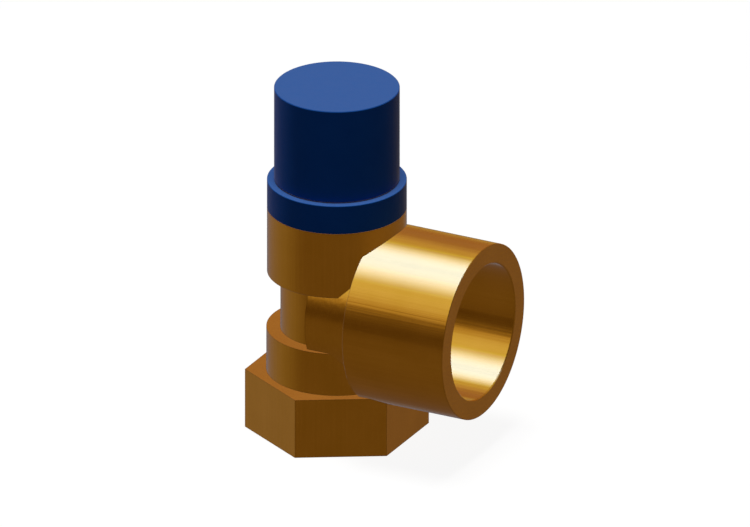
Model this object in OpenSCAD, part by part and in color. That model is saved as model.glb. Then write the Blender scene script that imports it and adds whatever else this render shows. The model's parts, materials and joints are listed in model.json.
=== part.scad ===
// Angle safety valve for a hot water cylinder, in millimetres.
// A brass body with a hexagonal female inlet below and a larger female outlet at the side,
// a spring-loaded disc above the inlet, a diaphragm that keeps the water out of the spring,
// and a cap that lifts the disc by three cam ramps when it is turned to the left.
// The origin is on the inlet's axis, in the plane of the inlet's end face.
// +Z runs up to the cap and +X out of the outlet.

/* [Inlet] */
// Width of the inlet hexagon across its flats
hex_af = 35; // [34:0.5:38]
// Height of the inlet hexagon
hex_h = 13.8; // [13:0.1:16]
// Bore of the inlet over the crests of its mating pipe thread
inlet_bore_d = 26.4; // [24:0.1:28]
// Depth of the inlet's threaded bore
inlet_depth = 13; // [10:0.5:13.5]
// Lead-in chamfer at the mouth of the inlet
inlet_chamfer = 1.2; // [0.5:0.1:1.5]

/* [Body] */
// Diameter of the shoulder that stands on the hexagon
shoulder_d = 31; // [29:0.1:33]
// Height of the shoulder
shoulder_h = 10; // [9.5:0.1:12]
// Diameter of the neck between the shoulder and the collar
neck_d = 24.8; // [24:0.1:26]
// Height of the neck
neck_h = 13.3; // [12.5:0.1:15]
// Height of the collar
collar_h = 15.35; // [14.5:0.05:17]
// Wall of the collar round the bonnet's thread
collar_wall = 1.85; // [1.2:0.05:2.5]

/* [Outlet] */
// Height of the outlet's axis above the top of the shoulder
outlet_rise = 5.8; // [5:0.1:7]
// Diameter of the outlet hub
outlet_d = 39.5; // [37:0.1:41]
// Length of the outlet hub
outlet_len = 24.7; // [23:0.1:26]
// Distance from the inlet's axis to the outlet's end face
outlet_reach = 36.1; // [35:0.1:40]
// Bore of the outlet, where its pipe thread is cut
outlet_bore_d = 30.6; // [28:0.1:32]
// Depth of the outlet's threaded bore
outlet_depth = 17; // [12:0.5:18]
// Lead-in chamfer at the mouth of the outlet
outlet_chamfer = 0.2; // [0.1:0.1:1]
// Diameter of the round branch between the neck and the outlet hub
branch_d = 31; // [29:0.1:33]
// Bore of the passage from the chamber to the outlet
passage_d = 17; // [14:0.5:18]

/* [Seat and disc] */
// Bore of the seat nozzle
seat_bore_d = 13; // [11:0.5:13.5]
// Height of the seat lip above the floor of the chamber
seat_h = 4.3; // [4:0.1:5]
// Thickness of the rubber disc that closes the seat
seal_t = 2.4; // [1.8:0.1:3]
// Lift of the disc when the cap stands on the crest of its ramps
lift = 2.4; // [1.5:0.1:2.8]

/* [Diaphragm] */
// Thickness of the diaphragm at its rim and centre
diaphragm_t = 1.5; // [1.2:0.1:1.8]
// Width of the diaphragm's rim, clamped between the body's ledge and the bonnet
rim_w = 3.1; // [2.8:0.1:3.6]
// Thickness of the slip ring between the diaphragm and the bonnet
slip_ring_t = 0.8; // [0.5:0.1:1]

/* [Spring] */
// Wire diameter of the spring
wire_d = 2; // [1.6:0.1:2.2]
// Number of active coils
active_coils = 4; // [3:0.5:4]

/* [Bonnet] */
// Height of the bonnet's flange
flange_h = 6.7; // [5:0.1:9]
// Wall of the sleeve under the cap, round the adjusting screw
sleeve_wall = 1.9; // [1.5:0.1:2.2]
// Length of the adjusting screw
adjuster_h = 5; // [4:0.5:6]

/* [Cap] */
// Outer diameter of the cap
cap_d = 27.6; // [26:0.1:28.4]
// Height of the cap
cap_h = 22; // [21:0.1:26]
// Thickness of the cap's side wall
cap_wall = 1.5; // [1.2:0.1:1.5]
// Thickness of the cap's top
cap_top_t = 2.2; // [1.5:0.1:3]
// Angle that the cap turns while its ramps lift the disc
ramp_angle = 80; // [60:5:85]

/* [Spindle] */
// Diameter of the spindle
spindle_d = 5; // [4:0.1:5.4]
// Depth of the spindle in the disc holder
spindle_depth = 5.5; // [4:0.1:6.5]

/* [Hidden] */
$fn = 96;
eps = 0.01;
through = 1; // length by which a hole's cutter runs past the wall

// Clearances between pieces
thread_gap = 0.05; // radial gap of a screwed or pressed fit
slide_gap = 0.05; // radial gap of the spindle in its guide
turn_gap = 0.4; // radial gap between the sleeve and the cap
cap_gap = 0.2; // height of the cap above the flange, and of its cams above the sleeve's
free_gap = 0.4; // gap beside a piece that moves in a bore
edge_break = 0.1; // chamfer on an outer turned edge

// Heights of the body's steps, from the inlet's end face up
shoulder_z = hex_h;
neck_z = shoulder_z + shoulder_h;
outlet_z = neck_z + outlet_rise;
collar_z = neck_z + neck_h;
flange_z = collar_z + collar_h;
cap_z = flange_z + flange_h + cap_gap;
cap_top_z = cap_z + cap_h - cap_gap;

// Radii from the cap inwards: cap, sleeve, adjusting screw, bonnet's bore and spring plate
cap_in_r = cap_d / 2 - cap_wall;
sleeve_r = cap_in_r - turn_gap;
adjuster_r = sleeve_r - sleeve_wall;
thread_relief = 0.4;
bonnet_bore_r = adjuster_r - thread_relief;
plate_r = bonnet_bore_r - free_gap;

// Nozzle, the floor that holds it, and the chamber, which clears the nozzle and the plate
nozzle_wall = 1.5;
nozzle_shank_r = seat_bore_d / 2 + nozzle_wall;
nozzle_flange_w = 1.3;
nozzle_flange_r = nozzle_shank_r + nozzle_flange_w;
nozzle_flange_h = 1.3;
nozzle_tail = 0.4;
nozzle_break = 0.3;
chamber_gap = 0.8;
plate_gap = 0.9;
chamber_r = max(nozzle_flange_r + chamber_gap, plate_r + plate_gap);
floor_drop = 0.8;
floor_z = outlet_z - passage_d / 2 - floor_drop;
inlet_cone_h = 2.2;
gasket_t = 0.8;
lip_w = 0.8;
lip_h = 0.6;
lip_shoulder_w = 0.7;
lip_taper = 0.2;
seat_z = floor_z + seat_h;

// Disc and its rubber seal
seal_overlap = 1.5;
seal_r = seat_bore_d / 2 + seal_overlap;
skirt_w = 1;
holder_r = seal_r + skirt_w;
seal_proud = 0.6;
skirt_h = seal_t - seal_proud;
holder_face_z = seat_z + seal_t;
holder_disc_h = 2.4;
holder_break = 0.4;
hub_wall = 2;
holder_hub_r = spindle_d / 2 + thread_gap + hub_wall;
hub_fillet = 0.8;
clamp_w = 1.75;
clamp_r = holder_hub_r + clamp_w;
clamp_h = 1.4;
clamp_slope = 0.6;
seal_screw_d = 4;
seal_screw_af = 7;
seal_screw_head_h = 2.6;
screw_gap = 0.5;
washer_w = 2.6;
seal_washer_r = seal_screw_d / 2 + washer_w;
seal_washer_t = 1;

// Diaphragm: its centre is clamped on the disc's hub, and its rim on the body's ledge. The
// bonnet's thread and the collar follow from the rim.
rim_gap = 0.3;
rim_r = chamber_r + rim_w;
bonnet_thread_r = rim_r + rim_gap;
collar_r = bonnet_thread_r + collar_wall;
rise_gap = 0.3;
centre_rise = 1.4;
centre_z = collar_z + centre_rise;
ledge_z = centre_z + diaphragm_t + lift + rise_gap;
ledge_chamfer = 0.5;
wave_inset = 0.2;
wave_inner_r = clamp_r;
wave_outer_r = chamber_r - wave_inset;
wave_swell = 0.1;
wave_steps = 12;

// Bonnet, screwed down on the slip ring
bonnet_z = ledge_z + diaphragm_t + slip_ring_t;
bonnet_foot_break = 0.5;
sleeve_z = flange_z + flange_h;

// Lower spring plate and its nut
plate_z = centre_z + diaphragm_t;
plate_foot_inset = 0.2;
plate_cone_h = ledge_z + diaphragm_t + rise_gap - plate_z;
plate_edge_h = 1;
plate_rim = 1;
spring_r = plate_r - plate_rim - wire_d / 2;
coil_gap = 0.2;
spring_hub_r = spring_r - wire_d / 2 - coil_gap;
spring_hub_h = 1.2;
hub_break = 0.3;
spring_z = plate_z + plate_cone_h + plate_edge_h;
nut_z = spring_z + spring_hub_h;
nut_washer_t = 0.8;
nut_washer_w = 2.9;
spindle_nut_af = 9;
spindle_nut_h = 3.2;

// Cap's ceiling, and the level of the cams that hang from it
cap_ceiling_z = cap_top_z - cap_top_t;
cam_head_h = 6.9;
cam_z = cap_ceiling_z - cam_head_h;

// Adjusting screw, its lock ring and the guide bush, hung from the top of the bonnet
lock_ring_t = 2.2;
lock_ring_drop = 0.6;
lock_ring_w = 3.55;
lock_ring_hole_r = adjuster_r - thread_gap - lock_ring_w;
lock_z = cam_z - lock_ring_drop - lock_ring_t;
adjuster_z = lock_z - adjuster_h;
adjuster_foot = 0.6;
adjuster_foot_inset = 0.6;
thread_chamfer = 0.4;
upper_plate_t = 1.2;
upper_plate_z = adjuster_z - upper_plate_t;
upper_plate_r = spring_r + wire_d / 2 + adjuster_foot_inset;
upper_hub_h = 0.8;
spanner_slot_w = 2.4;
spanner_slot_h = 1.2;
bush_wall = 1.4;
bush_bore_r = spindle_d / 2 + slide_gap;
bush_r = bush_bore_r + bush_wall;
bush_flange_w = 1.2;
bush_flange_r = bush_r + bush_flange_w;
bush_flange_t = 1;
bush_foot_inset = 0.3;
plate_hole_gap = 0.5;

// Spring between the two plates, with closed and ground ends
spring_end_gap = 0.03;
closed_spread = 1.06; // pitch of the closed end coils, in wire diameters
closed_pitch = wire_d * closed_spread;
coil_steps = 24;
wire_sides = 10;
spring_len = upper_plate_z - spring_z - 2 * spring_end_gap;
active_pitch = (spring_len - 2 * closed_pitch) / active_coils;
total_coils = active_coils + 2;

// Cams: lobes with a flat foot, a ramp, a flat crest and a steep fall
lobes = 3;
lobe_angle = 360 / lobes;
foot_angle = 14;
crest_angle = 12;
fall_angle = 4;
cam_step = 2;
cutter_depth = 3;
cutter_margin = 2;

// Claws of the cap and the nut that they hook under
claw_lip_r = spindle_d / 2 + free_gap;
claw_hook = 1;
lift_nut_r = claw_lip_r + claw_hook;
lift_nut_h = 3.2;
lift_nut_taper = 1;
nut_head_gap = 0.7;
lift_nut_z = cap_ceiling_z - nut_head_gap - lift_nut_h;
claw_in_r = lift_nut_r + free_gap;
claw_wall = 1.4;
claw_lip_t = 1.4;
claw_lead_in = 0.6;
claw_slots = 4;
claw_slot_w = 1.2;
claw_slot_rise = 2;
weld = 0.5; // depth by which the cap's inner parts run into its wall and top
cap_edge = 0.15;

// Spindle
spindle_break = 0.5;
spindle_foot_z = centre_z - spindle_depth;
spindle_top_z = lift_nut_z + lift_nut_h - coil_gap;
seal_screw_top_z = spindle_foot_z - screw_gap;

// A round bar standing on z with a chamfer at each end.
module bar(r, z, h, foot = 0, head = 0) {
  translate([0, 0, z])
    rotate_extrude()
      polygon([
        [0, 0], [r - foot, 0], [r, foot], [r, h - head], [r - head, h], [0, h]
      ]);
}

// A round hole from z up, a little longer than the wall that it goes through.
module hole(r, z, h) {
  translate([0, 0, z]) cylinder(r = r, h = h);
}

// A countersink: a cone that widens from r to r + size over its height, up or down.
module lead_in(r, z, size, down = false) {
  translate([0, 0, down ? z - eps : z - size])
    cylinder(
      r1 = down ? r + size + eps : r,
      r2 = down ? r : r + size + eps,
      h = size + eps
    );
}

// Turns a piece drawn along +Z so that it lies along the outlet's axis.
module on_outlet_axis() {
  translate([0, 0, outlet_z]) rotate([0, 90, 0]) children();
}

// A flat ring.
module ring(r_out, r_in, z, h) {
  difference() {
    bar(r_out, z, h);
    hole(r_in, z - through, h + 2 * through);
  }
}

// A hexagonal nut or head with its corners turned off, standing on z.
module hexagon(af, z, h, turned = 0.12) {
  corner_r = af / 2 / cos(30);
  cut = corner_r * turned;
  intersection() {
    translate([0, 0, z]) cylinder(r = corner_r, h = h, $fn = 6);
    bar(corner_r, z, h, foot = cut / 2, head = cut);
  }
}

// The outside of the forging: hexagon, shoulder, neck, collar, branch and outlet hub.
module body_outside() {
  rotate([0, 0, 30]) cylinder(r = hex_af / 2 / cos(30), h = hex_h, $fn = 6);
  bar(shoulder_d / 2, shoulder_z - through, shoulder_h + through);
  bar(neck_d / 2, neck_z - through, neck_h + 2 * through);
  bar(collar_r, collar_z, collar_h, foot = edge_break);
  on_outlet_axis() {
    bar(branch_d / 2, 0, outlet_reach - outlet_len + through);
    bar(outlet_d / 2, outlet_reach - outlet_len, outlet_len, edge_break, edge_break);
  }
}

// Every bore of the forging: inlet, nozzle seat, chamber, bonnet thread, passage and outlet.
module body_bores() {
  hole(inlet_bore_d / 2, -through, inlet_depth + through);
  lead_in(inlet_bore_d / 2, 0, inlet_chamfer, down = true);
  translate([0, 0, inlet_depth - eps])
    cylinder(r1 = inlet_bore_d / 2, r2 = nozzle_shank_r + thread_gap, h = inlet_cone_h);
  hole(nozzle_shank_r + thread_gap, inlet_depth, floor_z - inlet_depth + through);
  hole(chamber_r, floor_z, ledge_z - floor_z + through);
  lead_in(chamber_r, ledge_z, ledge_chamfer);
  hole(bonnet_thread_r, ledge_z, flange_z - ledge_z + through);
  on_outlet_axis() {
    hole(passage_d / 2, 0, outlet_reach);
    hole(outlet_bore_d / 2, outlet_reach - outlet_depth, outlet_depth + through);
    lead_in(outlet_bore_d / 2, outlet_reach, outlet_chamfer);
  }
}

module valve_body() {
  color("#b9862f")
    difference() {
      body_outside();
      body_bores();
    }
}

// Flat gasket under the flange of the nozzle.
module seat_gasket() {
  color("#7d6a58") ring(nozzle_flange_r, nozzle_shank_r + thread_gap, floor_z, gasket_t);
}

// Stainless nozzle with the raised seat lip, screwed into the floor of the chamber.
module seat_nozzle() {
  bore_r = seat_bore_d / 2;
  foot_z = inlet_depth + inlet_cone_h - nozzle_tail;
  flange_foot_z = floor_z + gasket_t;
  flange_top_z = flange_foot_z + nozzle_flange_h;
  tube_r = bore_r + lip_w + lip_shoulder_w;
  color("#c3c6c9")
    rotate_extrude()
      polygon([
        [bore_r + nozzle_tail, foot_z], [nozzle_shank_r - nozzle_tail, foot_z],
        [nozzle_shank_r, foot_z + nozzle_tail], [nozzle_shank_r, flange_foot_z],
        [nozzle_flange_r, flange_foot_z], [nozzle_flange_r, flange_top_z - nozzle_break],
        [nozzle_flange_r - nozzle_break, flange_top_z], [tube_r, flange_top_z],
        [tube_r, seat_z - lip_h], [bore_r + lip_w, seat_z - lip_h],
        [bore_r + lip_w - lip_taper, seat_z], [bore_r, seat_z], [bore_r, foot_z + nozzle_tail]
      ]);
}

// Hexagon screw that holds the seal and its washer under the disc holder.
module seal_screw() {
  washer_z = seat_z - seal_washer_t;
  head_z = washer_z - seal_screw_head_h;
  color("#b7babd") {
    hexagon(seal_screw_af, head_z, seal_screw_head_h);
    bar(
      seal_screw_d / 2, washer_z - through,
      seal_screw_top_z - washer_z + through, head = thread_chamfer
    );
  }
}

module seal_washer() {
  color("#b99247")
    ring(seal_washer_r, seal_screw_d / 2 + thread_gap, seat_z - seal_washer_t, seal_washer_t);
}

// Rubber disc that rests on the seat lip.
module disc_seal() {
  color("#26282a") ring(seal_r, seal_screw_d / 2 + thread_gap, seat_z, seal_t);
}

// Brass holder: a skirt round the rubber disc, a hub, and a flange under the diaphragm.
module disc_holder() {
  face_z = holder_face_z;
  skirt_z = face_z - skirt_h;
  disc_top_z = face_z + holder_disc_h;
  clamp_foot_z = centre_z - clamp_h;
  hole_r = spindle_d / 2 + thread_gap;
  color("#c09444")
    difference() {
      rotate_extrude()
        polygon([
          [0, face_z], [seal_r + thread_gap, face_z], [seal_r + thread_gap, skirt_z],
          [holder_r, skirt_z], [holder_r, disc_top_z - holder_break],
          [holder_r - holder_break, disc_top_z], [holder_hub_r + hub_fillet, disc_top_z],
          [holder_hub_r, disc_top_z + hub_fillet], [holder_hub_r, clamp_foot_z - clamp_slope],
          [clamp_r - clamp_w / 2, clamp_foot_z], [clamp_r, clamp_foot_z],
          [clamp_r, centre_z], [0, centre_z]
        ]);
      hole(seal_screw_d / 2 + thread_gap, face_z - through, seal_screw_top_z - face_z + through);
      hole(hole_r, spindle_foot_z - screw_gap, spindle_depth + screw_gap + through);
    }
}

// Height of the diaphragm's middle surface at radius r, a smooth step from centre to rim.
function wave_z(r) =
  let (share = (r - wave_inner_r) / (wave_outer_r - wave_inner_r))
    centre_z + diaphragm_t / 2 + (ledge_z - centre_z) * (1 - cos(180 * share)) / 2;

// Dished rubber diaphragm, thick at the centre and rim and thinner in the curved wall.
module diaphragm() {
  steps = wave_steps;
  radii = [for (i = [0 : steps]) wave_inner_r + (wave_outer_r - wave_inner_r) * i / steps];
  thick = function (i) diaphragm_t - wave_swell * sin(180 * i / steps);
  under = [for (i = [0 : steps]) [radii[i], wave_z(radii[i]) - thick(i) / 2]];
  over = [for (i = [steps : -1 : 0]) [radii[i], wave_z(radii[i]) + thick(i) / 2]];
  color("#2b2d2f")
    rotate_extrude()
      polygon(concat(
        [[spindle_d / 2 + thread_gap, centre_z]], under,
        [[rim_r, ledge_z], [rim_r, ledge_z + diaphragm_t]], over,
        [[spindle_d / 2 + thread_gap, centre_z + diaphragm_t]]
      ));
}

// Thin ring that keeps the turning bonnet from dragging the diaphragm's rim.
module slip_ring() {
  color("#c9cbcd") ring(rim_r, chamber_r + rim_gap, ledge_z + diaphragm_t, slip_ring_t);
}

// Lower spring plate: a cone that backs the diaphragm, with a hub that centres the spring.
module spring_plate() {
  cone_top_z = plate_z + plate_cone_h;
  bore_r = spindle_d / 2 + thread_gap;
  color("#c09444")
    rotate_extrude()
      polygon([
        [bore_r, plate_z], [clamp_r - plate_foot_inset, plate_z], [plate_r, cone_top_z],
        [plate_r, spring_z], [spring_hub_r, spring_z],
        [spring_hub_r, nut_z - hub_break], [spring_hub_r - hub_break, nut_z], [bore_r, nut_z]
      ]);
}

module nut_washer() {
  bore_r = spindle_d / 2 + thread_gap;
  color("#c9cbcd") ring(bore_r + nut_washer_w, bore_r, nut_z, nut_washer_t);
}

// Nut that clamps the spring plate and the diaphragm on the disc holder.
module spindle_nut() {
  z = nut_z + nut_washer_t;
  color("#b7babd")
    difference() {
      hexagon(spindle_nut_af, z, spindle_nut_h);
      hole(spindle_d / 2 + thread_gap, z - through, spindle_nut_h + 2 * through);
    }
}

// Spindle from the disc holder up to the lift nut.
module spindle() {
  color("#c3c6c9")
    bar(
      spindle_d / 2, spindle_foot_z, spindle_top_z - spindle_foot_z,
      spindle_break, spindle_break
    );
}

// Height of the spring's wire above its lower end after so many turns.
function coil_z(turns) =
  turns < 1 ? closed_pitch * turns
  : turns < total_coils - 1 ? closed_pitch + active_pitch * (turns - 1)
  : spring_len - closed_pitch * (total_coils - turns);

// Compression spring: a round wire swept along the coil, ground flat at both ends.
module spring() {
  count = floor(total_coils * coil_steps);
  points = [
    for (i = [0 : count], s = [0 : wire_sides - 1])
      let (
        turn = 360 * i / coil_steps,
        side = 360 * s / wire_sides,
        r = spring_r + wire_d / 2 * cos(side)
      )
        [r * cos(turn), r * sin(turn), coil_z(i / coil_steps) + wire_d / 2 * sin(side)]
  ];
  skin = [
    for (i = [0 : count - 1], s = [0 : wire_sides - 1])
      let (a = i * wire_sides, t = (s + 1) % wire_sides)
        [a + s, a + wire_sides + s, a + wire_sides + t, a + t]
  ];
  first_end = [for (s = [0 : wire_sides - 1]) s];
  last_end = [for (s = [wire_sides - 1 : -1 : 0]) count * wire_sides + s];
  color("#9ea2a6")
    translate([0, 0, spring_z + spring_end_gap])
      intersection() {
        polyhedron(points, concat([first_end], skin, [last_end]), convexity = 10);
        cylinder(r = spring_r + wire_d, h = spring_len);
      }
}

// Upper spring plate, pressed down by the adjusting screw.
module upper_spring_plate() {
  color("#b7babd")
    difference() {
      union() {
        bar(upper_plate_r, upper_plate_z, upper_plate_t);
        bar(
          spring_hub_r, upper_plate_z - upper_hub_h,
          upper_hub_h + upper_plate_t / 2, foot = hub_break
        );
      }
      hole(
        spindle_d / 2 + plate_hole_gap, upper_plate_z - upper_hub_h - through,
        upper_hub_h + upper_plate_t + 2 * through
      );
    }
}

// Two slots across the top of a screwed ring, for a pin spanner.
module spanner_slots(r_in, r_out, top_z) {
  for (side = [0, 180])
    rotate([0, 0, side])
      translate([r_in, -spanner_slot_w / 2, top_z - spanner_slot_h])
        cube([r_out - r_in + through, spanner_slot_w, spanner_slot_h + through]);
}

// Screw that sets the pressure by loading the spring.
module adjusting_screw() {
  top_z = adjuster_z + adjuster_h;
  thread_r = adjuster_r - thread_gap;
  color("#c09444")
    difference() {
      union() {
        bar(upper_plate_r - adjuster_foot_inset, adjuster_z, adjuster_foot + through);
        bar(
          thread_r, adjuster_z + adjuster_foot, adjuster_h - adjuster_foot,
          thread_chamfer, thread_chamfer
        );
      }
      hole(bush_r + thread_gap, adjuster_z - through, adjuster_h + 2 * through);
      spanner_slots(bush_flange_r + free_gap, thread_r, top_z);
    }
}

// Low-friction bush that guides the spindle in the adjusting screw.
module guide_bush() {
  top_z = adjuster_z + adjuster_h;
  color("#e8e6df")
    difference() {
      union() {
        bar(
          bush_r, adjuster_z + bush_foot_inset,
          adjuster_h + bush_flange_t / 2, foot = hub_break
        );
        bar(bush_flange_r, top_z, bush_flange_t);
      }
      hole(bush_bore_r, adjuster_z - through, adjuster_h + bush_flange_t + 2 * through);
    }
}

// Ring that locks the adjusting screw in the bonnet.
module lock_ring() {
  thread_r = adjuster_r - thread_gap;
  color("#c09444")
    difference() {
      bar(thread_r, lock_z, lock_ring_t, thread_chamfer, thread_chamfer);
      hole(lock_ring_hole_r, lock_z - through, lock_ring_t + 2 * through);
      spanner_slots(lock_ring_hole_r - through, thread_r, lock_z + lock_ring_t);
    }
}

// Height of the cam profile at an angle, from its foot to its crest.
function cam_rise(angle) =
  let (
    a = angle % lobe_angle,
    ramp_end = foot_angle + ramp_angle,
    crest_end = min(ramp_end + crest_angle, lobe_angle - fall_angle)
  )
    a < foot_angle ? 0
    : a < ramp_end ? lift * (a - foot_angle) / ramp_angle
    : a < crest_end ? lift
    : a < crest_end + fall_angle ? lift * (1 - (a - crest_end) / fall_angle)
    : 0;

// A solid ring whose top follows the cam profile, above and below the height z.
module cam_wave(z) {
  count = 360 / cam_step;
  r_in = adjuster_r - cutter_margin;
  r_out = cap_in_r + cutter_margin;
  points = [
    for (i = [0 : count - 1])
      let (a = i * cam_step, c = cos(a), s = sin(a), top = z + cam_rise(a))
        each [
          [r_in * c, r_in * s, z - cutter_depth], [r_out * c, r_out * s, z - cutter_depth],
          [r_out * c, r_out * s, top], [r_in * c, r_in * s, top]
        ]
  ];
  faces = [
    for (i = [0 : count - 1])
      let (a = 4 * i, b = 4 * ((i + 1) % count))
        each [
          [a, a + 1, b + 1, b], [a + 1, a + 2, b + 2, b + 1],
          [a + 2, b + 3, b + 2], [a + 2, a + 3, b + 3], [a + 3, a, b, b + 3]
        ]
  ];
  polyhedron(points, faces, convexity = 10);
}

// Bonnet: threaded foot, flange and the sleeve whose rim carries the cams.
module bonnet() {
  foot_r = bonnet_thread_r - thread_gap;
  color("#2c5697")
    difference() {
      union() {
        bar(foot_r, bonnet_z, flange_z - bonnet_z + through, foot = bonnet_foot_break);
        bar(collar_r, flange_z, flange_h, edge_break, edge_break);
        bar(sleeve_r, sleeve_z - through, cam_z - sleeve_z + through);
        intersection() {
          bar(sleeve_r, cam_z - through, lift + 2 * through);
          cam_wave(cam_z);
        }
      }
      hole(bonnet_bore_r, bonnet_z - through, cap_top_z - bonnet_z);
      hole(adjuster_r, upper_plate_z + upper_plate_t / 2, cap_top_z - upper_plate_z);
    }
}

// Round nut on the top of the spindle, which the claws of the cap snap over.
module lift_nut() {
  color("#b7babd")
    difference() {
      bar(lift_nut_r, lift_nut_z, lift_nut_h, edge_break, lift_nut_taper);
      hole(spindle_d / 2 + thread_gap, lift_nut_z - through, lift_nut_h + 2 * through);
    }
}

// Claws inside the cap that hook under the lift nut.
module cap_claws() {
  foot_z = lift_nut_z - claw_lip_t;
  difference() {
    bar(claw_in_r + claw_wall, foot_z, cap_ceiling_z - foot_z + weld);
    hole(claw_in_r, lift_nut_z, cap_ceiling_z - lift_nut_z);
    hole(claw_lip_r, foot_z - through, claw_lip_t + 2 * through);
    lead_in(claw_lip_r, foot_z, claw_lead_in, down = true);
    for (k = [0 : claw_slots - 1])
      rotate([0, 0, 360 * k / claw_slots])
        translate([0, -claw_slot_w / 2, foot_z - through])
          cube([
            claw_in_r + claw_wall + through, claw_slot_w,
            claw_lip_t + claw_slot_rise + through
          ]);
  }
}

// Cap: a closed cup that turns on the sleeve, with cams and claws inside.
module cap() {
  outside_h = cap_top_z - cap_z;
  color("#2c5697") {
    difference() {
      bar(cap_d / 2, cap_z, outside_h, cap_edge, cap_edge);
      hole(cap_in_r, cap_z - through, cap_ceiling_z - cap_z + through);
    }
    difference() {
      bar(cap_in_r + weld, cam_z, cap_ceiling_z - cam_z + weld);
      hole(adjuster_r, cam_z - through, cap_ceiling_z - cam_z + through);
      cam_wave(cam_z + cap_gap);
    }
    cap_claws();
  }
}

valve_body();
seat_gasket();
seat_nozzle();
seal_screw();
seal_washer();
disc_seal();
disc_holder();
diaphragm();
slip_ring();
spring_plate();
nut_washer();
spindle_nut();
spindle();
spring();
upper_spring_plate();
adjusting_screw();
guide_bush();
lock_ring();
bonnet();
lift_nut();
cap();
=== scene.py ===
# %% [markdown]
# # A safety valve with a cap that lifts it
# This lesson dresses a jointed model of an angle safety valve: a brass body with a hexagon below
# and a wide outlet at the side, a blue bonnet and cap on top, and the spring, spindle, disc and
# diaphragm inside. The solids come from the CAD model and stay where they are. Blender adds what
# the solids can't say well: finishes, light, and three pieces with fine or soft shapes.
# The first cell loads the solids. Each one is an object with its origin at the world's origin, so
# a point in its mesh is a point of the real valve, in metres.

# %% Load the valve
import json
import math

import bpy
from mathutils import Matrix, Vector

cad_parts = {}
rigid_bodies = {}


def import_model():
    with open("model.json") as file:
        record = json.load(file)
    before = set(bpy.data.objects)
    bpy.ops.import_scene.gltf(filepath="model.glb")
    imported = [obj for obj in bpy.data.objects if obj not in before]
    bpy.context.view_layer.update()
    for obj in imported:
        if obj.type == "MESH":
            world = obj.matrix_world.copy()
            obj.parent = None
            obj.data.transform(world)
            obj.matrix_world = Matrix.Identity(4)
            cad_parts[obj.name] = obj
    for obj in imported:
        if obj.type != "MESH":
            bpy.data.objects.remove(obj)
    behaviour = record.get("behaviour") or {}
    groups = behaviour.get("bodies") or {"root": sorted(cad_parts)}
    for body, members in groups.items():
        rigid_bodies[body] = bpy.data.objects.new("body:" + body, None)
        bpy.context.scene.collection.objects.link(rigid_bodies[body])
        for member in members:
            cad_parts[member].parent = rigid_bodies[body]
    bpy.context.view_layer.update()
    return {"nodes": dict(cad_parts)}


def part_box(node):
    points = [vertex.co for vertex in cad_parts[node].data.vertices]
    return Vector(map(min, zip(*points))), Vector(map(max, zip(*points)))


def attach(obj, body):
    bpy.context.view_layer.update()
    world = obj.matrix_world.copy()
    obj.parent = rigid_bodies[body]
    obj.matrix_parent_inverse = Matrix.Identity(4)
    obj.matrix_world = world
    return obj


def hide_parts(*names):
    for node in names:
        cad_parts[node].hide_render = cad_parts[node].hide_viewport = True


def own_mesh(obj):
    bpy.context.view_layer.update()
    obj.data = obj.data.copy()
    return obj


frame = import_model()
nodes = frame["nodes"]
print("pieces from the CAD model:", len(nodes))

# %% [markdown]
# ## The sizes that the lesson needs
# The valve's own numbers come first, in millimetres as on a drawing, and MM turns them to metres.
# They repeat what the CAD model says: the inlet's axis is +Z, and the outlet's is +X at a height
# of 29.6 mm. Naming them once keeps the finishes and the new pieces tied to the same edges.

# %% Name the valve's sizes
MM = 0.001
OUTLET_AXIS_Z = 29.6 * MM
HUB_BACK_X = 11.4 * MM
HEXAGON_TOP_Z = 13.8 * MM
print("outlet's axis at", round(OUTLET_AXIS_Z, 4), "m")

# %% [markdown]
# ## The camera
# The picture that the model follows has no perspective: edges that are parallel on the valve are
# parallel in the picture. That is an orthographic camera. It looks from 27.2 degrees to the right
# of the front and from 23.9 degrees above, and one pixel is 0.2194 mm, which makes the inlet's
# hexagon 35 mm wide. The camera could also be placed by eye, but a view that is worked out from
# angles and a scale can be checked with a ruler.

# %% Place the camera
IMAGE_W, IMAGE_H = 750, 527
METRES_PER_PIXEL = 0.2194 * MM
AZIMUTH, ELEVATION = math.radians(27.2), math.radians(23.9)
ORIGIN_PX = (336.9, 424.7)
CAMERA_DISTANCE = 0.6

right = Vector((math.cos(AZIMUTH), math.sin(AZIMUTH), 0))
to_camera = Vector((
    math.sin(AZIMUTH) * math.cos(ELEVATION),
    -math.cos(AZIMUTH) * math.cos(ELEVATION),
    math.sin(ELEVATION),
))
up = to_camera.cross(right)
middle = METRES_PER_PIXEL * (
    (IMAGE_W / 2 - ORIGIN_PX[0]) * right + (ORIGIN_PX[1] - IMAGE_H / 2) * up
)
camera_data = bpy.data.cameras.new("camera")
camera_data.type = "ORTHO"
camera_data.ortho_scale = IMAGE_W * METRES_PER_PIXEL
camera = bpy.data.objects.new("camera", camera_data)
camera.location = middle + CAMERA_DISTANCE * to_camera
camera.rotation_euler = to_camera.to_track_quat("Z", "Y").to_euler()
bpy.context.scene.collection.objects.link(camera)
bpy.context.scene.camera = camera
print("camera looks at", [round(c, 4) for c in middle])

# %% [markdown]
# ## Small tools for node materials
# Every finish here is a tree of shader nodes. Writing a tree takes the same three steps again
# and again: add a node, set its options, and join its sockets. `add_node` does all three, so that
# a finish reads as a recipe. Numbers that are the same all over a surface go straight on the
# shader's sockets with `set_shader`.

# %% Write the helpers for materials
def new_finish(name):
    """A fresh node material: returns it, its tree and its Principled shader."""
    material = bpy.data.materials.new(name)
    material.use_nodes = True
    tree = material.node_tree
    shader = next(n for n in tree.nodes if n.type == "BSDF_PRINCIPLED")
    return material, tree, shader


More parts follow.
